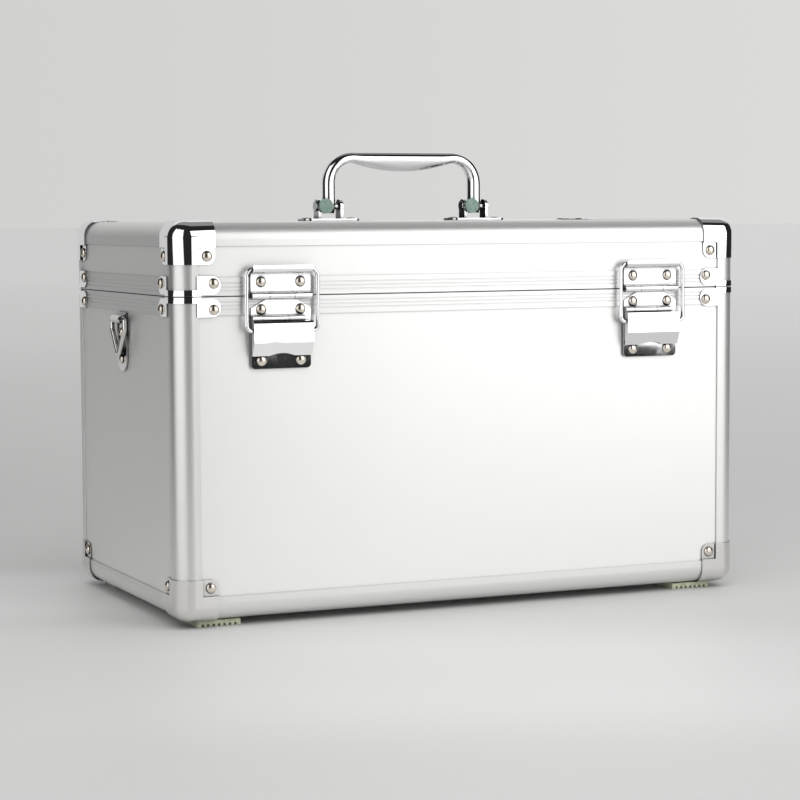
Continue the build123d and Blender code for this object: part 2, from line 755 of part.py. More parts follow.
# Side rings, drawn on the left and mirrored for the right
side_face = -panel_face_x
ring_x = side_face - ring_axis_offset
plate_x = side_face - ring_plate_thickness
with BuildPart() as ring_plate:
    plate_z = (parting + ring_plate_bottom, parting + ring_plate_top)
    add(block((plate_x, side_face), (-ring_plate_half_width, ring_plate_half_width), plate_z))
    fillet(ring_plate.edges().filter_by(Axis.X).group_by(Axis.Z)[0], radius=ring_plate_end)
    fillet(ring_plate.edges().filter_by(Axis.X).group_by(Axis.Z)[-1], radius=ring_plate_corner)
    with BuildSketch(Plane.XZ.offset(-ring_strap_half_width)):
        with Locations((ring_x, parting + ring_axis_z)):
            Circle(ring_wire_radius + ring_strap_wall)
        with Locations(((ring_x + side_face) / 2, parting + ring_axis_z)):
            Rectangle(ring_axis_offset, 2 * (ring_wire_radius + ring_strap_wall))
        with Locations((ring_x, parting + ring_axis_z)):
            Circle(ring_wire_radius + pin_clearance, mode=Mode.SUBTRACT)
    extrude(amount=2 * ring_strap_half_width)

with BuildPart() as ring:
    ring_plane = Plane(origin=(ring_x, 0, parting + ring_axis_z), x_dir=(0, 1, 0), z_dir=(1, 0, 0))
    with BuildLine(ring_plane) as path:
        FilletPolyline((ring_half_width, 0), (ring_half_width, -ring_shoulder), (ring_toe, -ring_drop),
                       (-ring_toe, -ring_drop), (-ring_half_width, -ring_shoulder), (-ring_half_width, 0),
                       close=True, radius=ring_bend)
    with BuildSketch(Plane(origin=path.line @ 0, z_dir=path.line % 0)):
        Circle(ring_wire_radius)
    sweep(path=path.line)

side_rivet = dome(side_rivet_radius, rivet_height)
ring_spots = [Location((plate_x, 0, parting + z), LEFT) for z in ring_rivet_z]
for side_name, about in (("left", None), ("right", Plane.YZ)):
    for piece, piece_name in ((ring_plate.part, "ring_plate"), (ring.part, "side_ring")):
        save(piece if about is None else mirror(piece, about=about), f"{piece_name}_{side_name}")

# Rear hinges: three knuckles each, the middle one on the lid
knuckle = hinge_length / 3


def hinge_leaf(up, knuckles):
    """A hinge leaf on the rear face with its knuckles round the hinge axis."""
    with BuildPart() as leaf:
        plate_z = sorted((parting + up * hinge_leaf_start, parting + up * hinge_leaf_height))
        add(block((-hinge_length / 2, hinge_length / 2), (half_depth, half_depth + leaf_thickness), plate_z))
        for ends in knuckles:
            low, high = ends[0] + hinge_gap / 2, ends[1] - hinge_gap / 2
            root_z = sorted((parting + up * hinge_gap, parting + up * hinge_leaf_start))
            add(block((low, high), (half_depth + root_gap, half_depth + leaf_thickness), root_z))
            add(tube_x((low, high), hinge_y, parting, hinge_radius))
            add(tube_x((low - overrun, high + overrun), hinge_y, parting, hinge_pin_radius + pin_clearance),
                mode=Mode.SUBTRACT)
    return leaf.part


hinge_spots = [Location((side * hinge_x, 0, 0)) for side in (-1, 1)]
body_leaf = hinge_leaf(-1, ((-hinge_length / 2, -knuckle / 2), (knuckle / 2, hinge_length / 2)))
lid_leaf = hinge_leaf(1, ((-knuckle / 2, knuckle / 2),))
save(placed(body_leaf, hinge_spots), "hinge_body_leaves")
save(placed(lid_leaf, hinge_spots), "hinge_lid_leaves")
save(placed(tube_x((-hinge_length / 2, hinge_length / 2), hinge_y, parting, hinge_pin_radius), hinge_spots),
     "hinge_pins")
leaf_face = half_depth + leaf_thickness
hinge_rivet_x = [side * hinge_x + step * hinge_rivet_pitch for side in (-1, 1) for step in (-1, 0, 1)]

# Every rivet head, one group on the body and one on the lid
with BuildPart() as all_body_rivets:
    add(body_rivets.part)
    add(placed(rivet, base_spots))
    add(both_sides(placed(side_rivet, ring_spots)))
    add(placed(rivet, [Location((x, leaf_face, parting - hinge_rivet_z), REAR) for x in hinge_rivet_x]))
save(all_body_rivets.part, "body_rivets")
with BuildPart() as all_lid_rivets:
    add(lid_rivets.part)
    add(placed(rivet, strike_spots))
    add(placed(rivet, handle_spots))
    add(placed(rivet, [Location((x, leaf_face, parting + hinge_rivet_z), REAR) for x in hinge_rivet_x]))
save(all_lid_rivets.part, "lid_rivets")


# Tray lift: four arms between the side walls and the tray, and a link from the lid to each rear arm
def from_hinge(forward, up):
    """A point in the YZ plane measured forward of and above the lid hinge axis."""
    return hinge_y - forward, parting + up


arm_reach = arm_length * cos(radians(arm_rest_angle))
arm_drop = arm_length * sin(radians(arm_rest_angle))
rear_pivot = from_hinge(arm_pivot_forward, arm_pivot_up)
front_pivot = from_hinge(arm_pivot_forward + arm_spacing, arm_pivot_up)
rear_tray_pivot = from_hinge(arm_pivot_forward + arm_reach, arm_pivot_up - arm_drop)
front_tray_pivot = from_hinge(arm_pivot_forward + arm_spacing + arm_reach, arm_pivot_up - arm_drop)
lid_link_pivot = from_hinge(crank_forward, crank_up)
arm_link_pivot = from_hinge(arm_pivot_forward + crank_forward, arm_pivot_up + crank_up)

outer_layer = (-inner_x + wall_gap, -inner_x + wall_gap + arm_thickness)
inner_layer = (outer_layer[1] + layer_gap, outer_layer[1] + layer_gap + arm_thickness)
tray_side = inner_layer[1] + tray_side_gap


def flat_bar(layer, points, holes):
    """A flat bar through the points with rounded ends, lying in one layer beside the left wall."""
    with BuildPart() as bar:
        with BuildSketch(Plane.YZ.offset(layer[0])):
            for start, end in zip(points, points[1:]):
                middle = Vector(*start) + (Vector(*end) - Vector(*start)) / 2
                SlotCenterPoint(center=middle, point=end, height=2 * arm_half_width)
            for spot, radius in holes:
                with Locations(spot):
                    Circle(radius, mode=Mode.SUBTRACT)
        extrude(amount=layer[1] - layer[0])
    return bar.part


running_hole = stud_radius + pin_clearance
loose_hole = stud_radius + open_clearance
rear_arm = flat_bar(inner_layer, (arm_link_pivot, rear_pivot, rear_tray_pivot),
                    ((rear_pivot, running_hole), (rear_tray_pivot, running_hole),
                     (arm_link_pivot, loose_hole)))
front_arm = flat_bar(outer_layer, (front_pivot, front_tray_pivot),
                     ((front_pivot, running_hole), (front_tray_pivot, loose_hole)))
link_bar = flat_bar(outer_layer, (lid_link_pivot, arm_link_pivot), ((lid_link_pivot, running_hole),))
with BuildPart() as link:
    add(link_bar)
    add(tube_x((outer_layer[1], inner_layer[1]), *arm_link_pivot, stud_radius))
save(both_sides(rear_arm), "rear_arms")
save(both_sides(front_arm), "front_arms")
save(both_sides(link.part), "lift_links")

with BuildPart() as wall_studs:
    add(tube_x((-inner_x, outer_layer[1]), *rear_pivot, collar_radius))
    add(tube_x((outer_layer[1], inner_layer[1]), *rear_pivot, stud_radius))
    add(tube_x((-inner_x, outer_layer[1]), *front_pivot, stud_radius))
save(both_sides(wall_studs.part), "arm_studs")
save(both_sides(tube_x((-inner_x, outer_layer[1]), *lid_link_pivot, stud_radius)), "lid_studs")
with BuildPart() as tray_pins:
    add(tube_x((inner_layer[0], tray_side), *rear_tray_pivot, stud_radius))
    add(tube_x((inner_layer[0], tray_side), *front_tray_pivot, collar_radius))
    add(tube_x((outer_layer[0], inner_layer[0]), *front_tray_pivot, stud_radius))
save(both_sides(tray_pins.part), "tray_studs")


def open_tray(half_x, y_limits, z_limits):
    """A tray with a flat floor, four thin walls and no lid."""
    with BuildPart() as result:
        add(block((-half_x, half_x), y_limits, z_limits))
        fillet(result.edges().filter_by(Axis.Z), radius=tray_corner)
        add(block((-half_x + tray_wall, half_x - tray_wall),
                  (y_limits[0] + tray_wall, y_limits[1] - tray_wall),
                  (z_limits[0] + tray_wall, z_limits[1] + overrun)), mode=Mode.SUBTRACT)
    return result.part


# Upper tray and its dividers: one long trough at the front and a row of cells behind it
tray_half = -tray_side
tray_y = (front_tray_pivot[0] - tray_nose, inner_y - tray_rear_gap)
tray_z = (front_tray_pivot[1] - tray_skirt, parting + tray_top)
save(open_tray(tray_half, tray_y, tray_z), "upper_tray")
divider_z = (tray_z[0] + tray_wall, tray_z[1] - divider_drop)
inside_x = tray_half - tray_wall - divider_clearance
trough_y = tray_y[0] + tray_wall + trough_depth
cell_width = 2 * inside_x / tray_cells
with BuildPart() as dividers:
    add(block((-inside_x, inside_x), (trough_y, trough_y + divider_thickness), divider_z))
    for index in range(1, tray_cells):
        wall_x = -inside_x + index * cell_width
        add(block((wall_x - divider_thickness / 2, wall_x + divider_thickness / 2),
                  (trough_y + divider_thickness, tray_y[1] - tray_wall - divider_clearance), divider_z))
save(dividers.part, "upper_dividers")

# Lower tray, standing on the floor mat, with its dividers
lower_half = inner_x - lower_tray_gap
lower_y = (-inner_y + lower_tray_gap, inner_y - lower_tray_gap)
lower_z = (mat_top, mat_top + lower_tray_height)
save(open_tray(lower_half, lower_y, lower_z), "lower_tray")
lower_divider_z = (lower_z[0] + tray_wall, lower_z[1] - divider_drop)
lower_inside = lower_half - tray_wall - divider_clearance
lower_cell = 2 * lower_inside / lower_cells
with BuildPart() as lower_dividers:
    for index in range(1, lower_cells):
        wall_x = -lower_inside + index * lower_cell
        add(block((wall_x - divider_thickness / 2, wall_x + divider_thickness / 2),
                  (lower_y[0] + tray_wall + divider_clearance, lower_y[1] - tray_wall - divider_clearance),
                  lower_divider_z))
save(lower_dividers.part, "lower_dividers")
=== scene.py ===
# %% [markdown]
# # A hard-sided sewing box with trays
# The real box is a carrying case: flat sheets of aluminium held in rounded aluminium edges, with
# plated steel corners, latches and a handle.  The engineering model already gives every metal piece
# its true shape and place, so this lesson loads it as a fixed frame and spends its effort on what a
# frame can't give: the finishes, the small rounded edges, the soft linings and the light.

# %% Load the frame
from math import cos, pi, radians, sin, sqrt

import bmesh
import bpy
from mathutils import Matrix, Vector


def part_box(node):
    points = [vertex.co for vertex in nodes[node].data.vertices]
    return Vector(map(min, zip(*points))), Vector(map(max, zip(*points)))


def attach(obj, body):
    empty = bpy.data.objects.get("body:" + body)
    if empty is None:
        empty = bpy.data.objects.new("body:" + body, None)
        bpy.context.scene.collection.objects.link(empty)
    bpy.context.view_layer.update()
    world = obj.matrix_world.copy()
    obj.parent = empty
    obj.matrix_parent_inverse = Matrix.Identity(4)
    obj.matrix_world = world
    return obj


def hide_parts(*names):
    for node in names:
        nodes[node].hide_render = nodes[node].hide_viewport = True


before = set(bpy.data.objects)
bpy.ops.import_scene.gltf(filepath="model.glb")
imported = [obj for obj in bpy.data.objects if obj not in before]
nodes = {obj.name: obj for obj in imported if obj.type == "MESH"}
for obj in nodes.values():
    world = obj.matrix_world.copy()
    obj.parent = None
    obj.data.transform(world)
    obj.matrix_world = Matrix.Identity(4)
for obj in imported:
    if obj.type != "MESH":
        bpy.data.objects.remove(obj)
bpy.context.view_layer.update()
scene = bpy.context.scene
scene.view_settings.view_transform = "Standard"

# %% [markdown]
# ## The camera
# A product picture of a case like this is taken from a little way round one corner, with a long lens
# so that the upright edges stay nearly parallel.  A camera could be aimed with a constraint, but
# three plain turns say the same thing and are easy to change: a turn to the side, a tilt down and a
# very small roll.

# %% Camera
CAMERA_PLACE = Vector((-0.6118, -1.3688, 0.2406))
CAMERA_TURN = radians(24.01)
CAMERA_TILT = radians(4.53)
CAMERA_ROLL = radians(-0.30)
CAMERA_LENS = 103.4
SENSOR_WIDTH = 36.0

camera_data = bpy.data.cameras.new("product_camera")
camera_data.sensor_width = SENSOR_WIDTH
camera_data.lens = CAMERA_LENS
camera = bpy.data.objects.new("product_camera", camera_data)
scene.collection.objects.link(camera)
turned = Matrix.Rotation(-CAMERA_TURN, 4, "Z")
tilted = Matrix.Rotation(radians(90) - CAMERA_TILT, 4, "X")
rolled = Matrix.Rotation(CAMERA_ROLL, 4, "Z")
camera.matrix_world = Matrix.Translation(CAMERA_PLACE) @ (turned @ tilted) @ rolled
scene.camera = camera
print("camera", round(CAMERA_PLACE.length, 3), "m away, lens", CAMERA_LENS, "mm")

# %% [markdown]
# ## Shader sums written as Python
# A finish is a network of nodes, and linking each one by hand hides the idea behind it.  This small
# class wraps a shader socket, so that a sum such as `1 - mask * 0.5` adds its Math nodes by itself.

# %% Shade
class Shade:
    """A number that changes over a surface, used in sums like any other number."""

    def __init__(self, graph, socket):
        self.graph = graph
        self.socket = socket

    def joined(self, operation, first, second):
        """The Math node for one operation."""
        return self.graph.node("ShaderNodeMath", {"operation": operation}, {0: first, 1: second})

    def __add__(self, other):
        return self.joined("ADD", self, other)

    __radd__ = __add__

    def __mul__(self, other):
        return self.joined("MULTIPLY", self, other)

    __rmul__ = __mul__

    def __sub__(self, other):
        return self.joined("SUBTRACT", self, other)

    def __rsub__(self, other):
        return self.joined("SUBTRACT", other, self)

    def above(self, limit):
        """1 where the number is over the limit, and 0 elsewhere."""
        return self.joined("GREATER_THAN", self, limit)

    def size(self):
        """The number without its sign."""
        return self.joined("ABSOLUTE", self, 0.0)

    def between(self, low, high):
        """A soft step: 0 below low, 1 above high."""
        sockets = {"Value": self, "From Min": low, "From Max": high}
        return self.graph.node("ShaderNodeMapRange", {"interpolation_type": "SMOOTHSTEP"}, sockets)


print("sums on a shade become Math nodes")

# %% [markdown]
# ## One method for every other node
# Each kind of node could have a function of its own, but all of them need the same three things: a
# kind, a few settings, and the values or links of their sockets.  So one method takes those, and the
# kinds that come back in many finishes get a short name: a stretched point, noise, cells, a mix of
# two colours and a relief.

# %% Graph
class Graph:
    """The node network of one material, or of the world."""

    def __init__(self, owner):
        owner.use_nodes = True
        self.tree = owner.node_tree

    def put(self, socket, value):
        """Gives a socket its plain value, or links a shade to it."""
        if isinstance(value, Shade):
            self.tree.links.new(value.socket, socket)
        else:
            socket.default_value = value

    def node(self, kind, settings=None, sockets=None, output=0):
        """Adds any node: its settings first, then the values or links of its sockets."""
        made = self.tree.nodes.new(kind)
        for name, value in (settings or {}).items():
            if name == "stops":
                while len(made.color_ramp.elements) < len(value):
                    made.color_ramp.elements.new(0.5)
                for element, (position, colour) in zip(made.color_ramp.elements, value):
                    element.position = position
                    element.color = colour
            else:
                setattr(made, name, value)
        for name, value in (sockets or {}).items():
            self.put(made.inputs[name], value)
        return Shade(self, made.outputs[output])

    def dot(self, where, towards):
        """How far a point or a direction goes along another."""
        sockets = {0: where, 1: towards}
        return self.node("ShaderNodeVectorMath", {"operation": "DOT_PRODUCT"}, sockets, 1)

    def place(self, stretch=1):
        """The point on the piece in metres, multiplied by one stretch, or by one for each axis."""
        factors = stretch if isinstance(stretch, tuple) else (stretch, stretch, stretch)
        point = self.node("ShaderNodeTexCoord", output="Object")
        return self.node("ShaderNodeVectorMath", {"operation": "MULTIPLY"}, {0: point, 1: factors})

    def noise(self, where, detail=3.0, roughness=0.5):
        """Soft random patches, from 0 to 1."""
        sockets = {"Vector": where, "Scale": 1.0, "Detail": detail, "Roughness": roughness}
        return self.node("ShaderNodeTexNoise", None, sockets)

    def cells(self, where, smoothness):
        """Rounded cells, 0 in their middles and rising to their borders."""
        sockets = {"Vector": where, "Scale": 1.0, "Smoothness": smoothness}
        return self.node("ShaderNodeTexVoronoi", {"feature": "SMOOTH_F1"}, sockets)

    def mixed(self, mask, first, second):
        """A colour between two others."""
        return self.node("ShaderNodeMix", {"data_type": "RGBA"}, {0: mask, 6: first, 7: second}, 2)

    def bump(self, height, distance, strength=1.0):
        """A relief so many metres high."""
        sockets = {"Height": height, "Distance": distance, "Strength": strength}
        return self.node("ShaderNodeBump", None, sockets)


print("a graph can add any node")

# %% [markdown]
# ## The light
# Polished metal has no colour of its own: it shows the room.  A studio for shiny goods is kept dark
# except for a few large white panels, because it is the black between the panels that draws the
# chrome.  Lamps could stand for the far panels, but a room that is painted by direction is easier
# to plan: each panel is a range of compass angles and a range of heights.

# %% Directions in the room
DEGREES = 180 / pi

world = bpy.data.worlds.new("studio_room")
scene.world = world
room = Graph(world)
direction = room.node("ShaderNodeTexCoord", output="Generated")
across, away, up = (room.node("ShaderNodeSeparateXYZ", None, {0: direction}, axis) for axis in range(3))
bearing = room.node("ShaderNodeMath", {"operation": "ARCTAN2"}, {0: 0 - away, 1: 0 - across})
compass = 180 + DEGREES * bearing
height = DEGREES * room.node("ShaderNodeMath", {"operation": "ARCSINE"}, {0: up})


def within(value, low, high, soft):
    """1 between two angles and 0 outside them, with soft edges."""
    return value.between(low - soft, low + soft) * (1 - value.between(high - soft, high + soft))


print("directions take", len(room.tree.nodes), "nodes")

# %% [markdown]
# Three things glow in this room: a panel at the left side, a dimmer sheet behind the case, and a
# weak overhead light.  A range is given by its two ends and the softness of its edges, in degrees.
# The camera itself sees none of them, only a pale backdrop that is slightly darker on the left, a
# painted shade.

# %% The studio room
ROOM_GLOW = 0.02
SIDE_PANEL_LIGHT = 1.2
SIDE_PANEL_TURNS = (169, 238, 1.5)
SIDE_PANEL_HEIGHTS = (-35, 50, 3)
BACK_SHEET_LIGHT = 0.60
BACK_SHEET_TURNS = (30, 112, 3)
BACK_SHEET_HEIGHTS = (-35, 45, 4)
OVERHEAD_LIGHT = 0.26
OVERHEAD_TOWARDS = (0.35, 0.5, 0.79)
OVERHEAD_EDGE = (0.78, 0.84)
BACKDROP_LEFT = (0.64, 0.64, 0.632, 1)
BACKDROP_RIGHT = (0.71, 0.71, 0.70, 1)
BACKDROP_TURNS = (54, 78)

side_panel = within(compass, *SIDE_PANEL_TURNS) * within(height, *SIDE_PANEL_HEIGHTS)
back_sheet = within(compass, *BACK_SHEET_TURNS) * within(height, *BACK_SHEET_HEIGHTS)
overhead = room.dot(direction, OVERHEAD_TOWARDS).between(*OVERHEAD_EDGE)
lit_room = (ROOM_GLOW + side_panel * SIDE_PANEL_LIGHT + back_sheet * BACK_SHEET_LIGHT
            + overhead * OVERHEAD_LIGHT)
# The darker left of the backdrop is painted shade.
backdrop = room.mixed(compass.between(*BACKDROP_TURNS), BACKDROP_RIGHT, BACKDROP_LEFT)
seen = room.node("ShaderNodeLightPath", output="Is Camera Ray")
room.put(room.tree.nodes["Background"].inputs["Color"], room.mixed(seen, lit_room, backdrop))
print("the room is painted with", len(room.tree.nodes), "nodes")

# %% [markdown]
# The brightest panel stands close to the case, at its front right.  A close panel looks different
# from each end of the front and from top and bottom, so it can't be painted on the far room: it is
# a real lamp, given by its two lower corners, its height and the brightness of its face.  A low lit
# strip at the table's edge brightens the foot of the front, and the black gap between the two is
# what the lowest latch plates mirror.

# %% Main panel
PANEL_LEFT = Vector((0.10, -1.01, 0.0))
PANEL_RIGHT = Vector((0.83, -0.58, 0.0))
PANEL_BOTTOM = 0.117
PANEL_TOP = 1.05
STRIP_BOTTOM = 0.004
STRIP_TOP = 0.062
PANEL_BRIGHTNESS = 1.91


def panel_lamp(name, bottom, top):
    """An upright rectangular lamp over the line between the panel's corners, facing the case."""
    line = PANEL_RIGHT - PANEL_LEFT
    middle = (PANEL_LEFT + PANEL_RIGHT) / 2
    lamp_data = bpy.data.lights.new(name, "AREA")
    lamp_data.shape = "RECTANGLE"
    lamp_data.size = line.length
    lamp_data.size_y = top - bottom
    lamp_data.energy = PANEL_BRIGHTNESS * pi * lamp_data.size * lamp_data.size_y
    lamp = bpy.data.objects.new(name, lamp_data)
    scene.collection.objects.link(lamp)
    facing = line.cross(Vector((0, 0, 1))).normalized()
    if facing.dot(middle) > 0:
        facing = -facing
    lamp.location = middle + Vector((0, 0, (top + bottom) / 2))
    lamp.rotation_euler = facing.to_track_quat("-Z", "Y").to_euler()
    lamp.visible_camera = False
    print(name, round(lamp_data.size, 2), "m wide gives", round(lamp_data.energy, 2), "W")


panel_lamp("main_panel", PANEL_BOTTOM, PANEL_TOP)
panel_lamp("low_strip", STRIP_BOTTOM, STRIP_TOP)

# %% [markdown]
# The panels alone leave the table dull, so one wide soft lamp hangs above.  An area lamp would do
# it too, but would fall off across the table, and a sun with a wide angle is even everywhere.  It
# must not be mirrored, since its image on top of the handle would hide the black band there.

# %% Overhead lamp
FILL_STRENGTH = 2.05
FILL_ANGLE = radians(70)
FILL_LEAN = (radians(24), radians(3), 0)

fill_data = bpy.data.lights.new("overhead_fill", "SUN")
fill_data.energy = FILL_STRENGTH
fill_data.angle = FILL_ANGLE
fill = bpy.data.objects.new("overhead_fill", fill_data)
scene.collection.objects.link(fill)
fill.rotation_euler = FILL_LEAN
fill.visible_glossy = False
print("overhead fill", FILL_STRENGTH, "W per square metre")

# %% [markdown]
# ## Table and backdrop
# The case stands on a pale sheet that sweeps up behind it.  A bent sheet would be in the way when
# the box is looked at from behind, so the floor is one wide flat sheet and its colour does the
# sweep.  The sweep is a list of distances behind the middle of the case, each with its tone of
# painted light and shade: dim at the near edge of the table, palest before the case, dull behind it,
# and pale again far away.

# %% Floor
FLOOR_HALF = 60.0
# These tones are painted light and shade over one even pale sheet.
SWEEP = [(-0.80, 0.36), (-0.58, 0.61), (-0.42, 0.62), (-0.19, 0.58), (-0.05, 0.53), (0.08, 0.49),
         (0.46, 0.455), (1.2, 0.51), (3.0, 0.60), (8.0, 0.675)]
SWEEP_START = 1
SWEEP_LENGTH = 10
SWEEP_WARMTH = 0.99

floor_mesh = bpy.data.meshes.new("floor")
floor_form = bmesh.new()
bmesh.ops.create_grid(floor_form, x_segments=2, y_segments=2, size=FLOOR_HALF)
floor_form.to_mesh(floor_mesh)
floor_form.free()
floor = bpy.data.objects.new("floor", floor_mesh)
scene.collection.objects.link(floor)
floor_material = bpy.data.materials.new("pale_sheet")
floor_mesh.materials.append(floor_material)
sheet = Graph(floor_material)
behind = sheet.dot(sheet.place(), (sin(CAMERA_TURN), cos(CAMERA_TURN), 0))
sideways = sheet.dot(sheet.place(), (cos(CAMERA_TURN), -sin(CAMERA_TURN), 0))
sweep_stops = [((distance + SWEEP_START) / SWEEP_LENGTH, (tone, tone, tone * SWEEP_WARMTH, 1))
               for distance, tone in SWEEP]
sweep_place = (behind + SWEEP_START) * (1 / SWEEP_LENGTH)
sweep = sheet.node("ShaderNodeValToRGB", {"stops": sweep_stops}, {0: sweep_place})
print("floor sweeps through", len(SWEEP), "tones")

# %% [markdown]
# The light on a real table is never the same on both sides.  More lamps could bring that out, but
# they would show up in the chrome, so a few soft patches are laid over the sweep instead: paler to
# the right, at the left end of the case and in a pool before its front, and darker at the near
# right.

# %% Patches on the floor
BESIDE_PALER = 0.14
DISTANCE_PALER = 0.08
POOL_PALER = 0.26
LEFT_END_PALER = 0.22
NEAR_RIGHT_DARKER = 0.22
WHITE = (1, 1, 1, 1)
SHADE_GREY = (0.25, 0.25, 0.25, 1)


def patch(across_middle, across_edge, behind_middle, behind_edge):
    """1 in the middle of a patch of the floor, fading to 0 over its soft edges."""
    across_share = 1 - (sideways - across_middle).size().between(*across_edge)
    behind_share = 1 - (behind - behind_middle).size().between(*behind_edge)
    return across_share * behind_share


left_end = patch(-0.20, (0.03, 0.25), -0.03, (0.05, 0.12))
pool = patch(0.05, (0.06, 0.28), -0.30, (0.05, 0.20))
beside = behind.between(-0.2, 0.2) * BESIDE_PALER + behind.between(1.0, 6.0) * DISTANCE_PALER
far_right = sideways.between(-0.6, 0.6) * beside
near_right = sideways.between(0.0, 0.35) * (1 - behind.between(-0.2, 0.2))
paler = far_right + pool * POOL_PALER + left_end * LEFT_END_PALER
lifted = sheet.mixed(paler, sweep, WHITE)
floor_colour = sheet.mixed(near_right * NEAR_RIGHT_DARKER, lifted, SHADE_GREY)
sheet_shader = sheet.tree.nodes["Principled BSDF"]
sheet.put(sheet_shader.inputs["Base Color"], floor_colour)
sheet_shader.inputs["Roughness"].default_value = 0.5
sheet_shader.inputs["Specular IOR Level"].default_value = 0.3
print("floor tones take", len(sheet.tree.nodes), "nodes")

# %% [markdown]
# A real table ends after a step or two, and the metal then mirrors the room beyond it.  The sheet
# can't simply be cut there, because the backdrop needs it, so it fades away at that distance for
# mirrored rays only.

# %% End of the table
TABLE_END = (0.95, 1.1)

reach = sheet.node("ShaderNodeVectorMath", {"operation": "LENGTH"}, {0: sheet.place()}, 1)
mirrored = sheet.node("ShaderNodeLightPath", output="Is Glossy Ray")
gone = sheet.node("ShaderNodeBsdfTransparent")
solid = Shade(sheet, sheet_shader.outputs[0])
fading = reach.between(*TABLE_END) * mirrored
ending = sheet.node("ShaderNodeMixShader", None, {0: fading, 1: solid, 2: gone})
sheet.put(sheet.tree.nodes["Material Output"].inputs["Surface"], ending)
print("mirrored table ends", TABLE_END[1], "m away")

# %% [markdown]
# ## Satin aluminium sheets
# The flat panels are rolled sheet with a fine satin coat: bright, evenly blurred, with a hardly
# visible upright grain.  Metal alone would go dark wherever the room is dark, and the real coat
# scatters a little light, so the shader is mostly metal with a share of pale scatter.  Beside the
# fittings a painted shade darkens the colour, in a line as narrow as they are thick.  A painted mask
# could place it, but the Ambient Occlusion node finds every such gap by itself.

# %% Panel finish
GAP_CLOSED = 0.4
GAP_OPEN = 0.92
GAP_SAMPLES = 12
SATIN_PALE = (0.925, 0.925, 0.912, 1)
SATIN_DEEP = (0.875, 0.875, 0.862, 1)
# The next two give the painted shade beside the fittings: its colour, and how near a fitting must
# stand.
PANEL_GAP_SHADE = (0.58, 0.58, 0.58, 1)
PANEL_GAP_SHADE_DEPTH = 0.0025
finishes = {}


def finish(name, colour, metallic, uniform=None):
    """Starts the finish for one of the record's slots, and returns its graph and its shader."""
    material = bpy.data.materials.new("finish_" + name)
    graph = Graph(material)
    shader = graph.tree.nodes["Principled BSDF"]
    shader.inputs["Base Color"].default_value = (*colour, 1.0)
    shader.inputs["Metallic"].default_value = metallic
    for socket, value in (uniform or {}).items():
        shader.inputs[socket].default_value = value
    finishes[name] = material
    return graph, shader


def in_gaps(graph, colour, dark, depth):
    """The colour with painted shade, going dark where something stands closer to the surface than this
    depth.
    """
    free = graph.node("ShaderNodeAmbientOcclusion", {"samples": GAP_SAMPLES}, {"Distance": depth}, "AO")
    return graph.mixed(free.between(GAP_CLOSED, GAP_OPEN), dark, colour)


graph, shader = finish("panel_aluminium", (0.90, 0.90, 0.885), 0.72, {"IOR": 1.5})
upright_grain = graph.noise(graph.place((1500, 1500, 22)), detail=4.0, roughness=0.6)
cloud = graph.noise(graph.place(9), detail=2.0)
satin = graph.mixed(upright_grain * 0.5 + cloud * 0.3, SATIN_PALE, SATIN_DEEP)
# The base colour carries a painted shade in the gaps beside the fittings.
graph.put(shader.inputs["Base Color"], in_gaps(graph, satin, PANEL_GAP_SHADE, PANEL_GAP_SHADE_DEPTH))
graph.put(shader.inputs["Roughness"], 0.36 + upright_grain * 0.08 + cloud * 0.04)
graph.put(shader.inputs["Normal"], graph.bump(upright_grain, 0.000012, 0.6))
print("panel finish ready")

# %% [markdown]
# ## Extruded edges
# Aluminium pushed through a die keeps hair-fine lines along its whole length.  The posts run
# upright, but the long edges and the rims run both ways round the box, so their finish first asks
# whether a point lies on the front or rear run, and stretches the lines to suit.

# %% Edge finish
EDGE_PALE = (0.88, 0.88, 0.87, 1)
EDGE_DEEP = (0.80, 0.80, 0.79, 1)
# The next two give the painted shade in the gaps beside an edge: its colour, and how near a part must
# stand.
EDGE_GAP_SHADE = (0.72, 0.72, 0.72, 1)
EDGE_GAP_SHADE_DEPTH = 0.0015
LINES_PER_METRE = 1100
ALONG_LINES = 3
RUN_BEHIND = 0.0888


def extruded(name, upright):
    """An edge finish with its die lines upright, or round the box."""
    graph, shader = finish(name, EDGE_PALE[:3], 0.85)
    where = graph.place((LINES_PER_METRE, LINES_PER_METRE, ALONG_LINES))
    if not upright:
        depth = graph.node("ShaderNodeSeparateXYZ", None, {0: graph.place()}, 1).size()
        side_run = graph.place((LINES_PER_METRE, ALONG_LINES, LINES_PER_METRE))
        front_run = graph.place((ALONG_LINES, LINES_PER_METRE, LINES_PER_METRE))
        sockets = {0: depth.above(RUN_BEHIND), 4: side_run, 5: front_run}
        where = graph.node("ShaderNodeMix", {"data_type": "VECTOR"}, sockets, 1)
    lines = graph.noise(where, detail=5.0, roughness=0.65)
    drawn = graph.mixed(lines, EDGE_DEEP, EDGE_PALE)
    # The die lines carry a painted shade in the gaps beside other parts.
    graph.put(shader.inputs["Base Color"], in_gaps(graph, drawn, EDGE_GAP_SHADE, EDGE_GAP_SHADE_DEPTH))
    graph.put(shader.inputs["Roughness"], 0.33 + lines * 0.12)
    graph.put(shader.inputs["Normal"], graph.bump(lines, 0.00001, 0.8))


extruded("edge_aluminium", upright=False)
extruded("edge_post", upright=True)
print("edge finishes ready")

# %% [markdown]
# ## Chrome and nickel
# Plated steel mirrors the room, but a stamped sheet is never quite flat: its reflections swim a
# little, and fingers leave faint dull patches.  Both are put in, far weaker than the eye expects,
# because a mirror shows every unevenness.  Deep in the gaps between parts a painted shade darkens the
# plating: that is what draws the outline of a latch.

# %% Plated finishes
# The next two give the painted shade deep in the gaps between parts: its colour, and how near a part
# must stand.
CREVICE_SHADE = (0.05, 0.05, 0.055, 1)
CREVICE_SHADE_DEPTH = 0.005


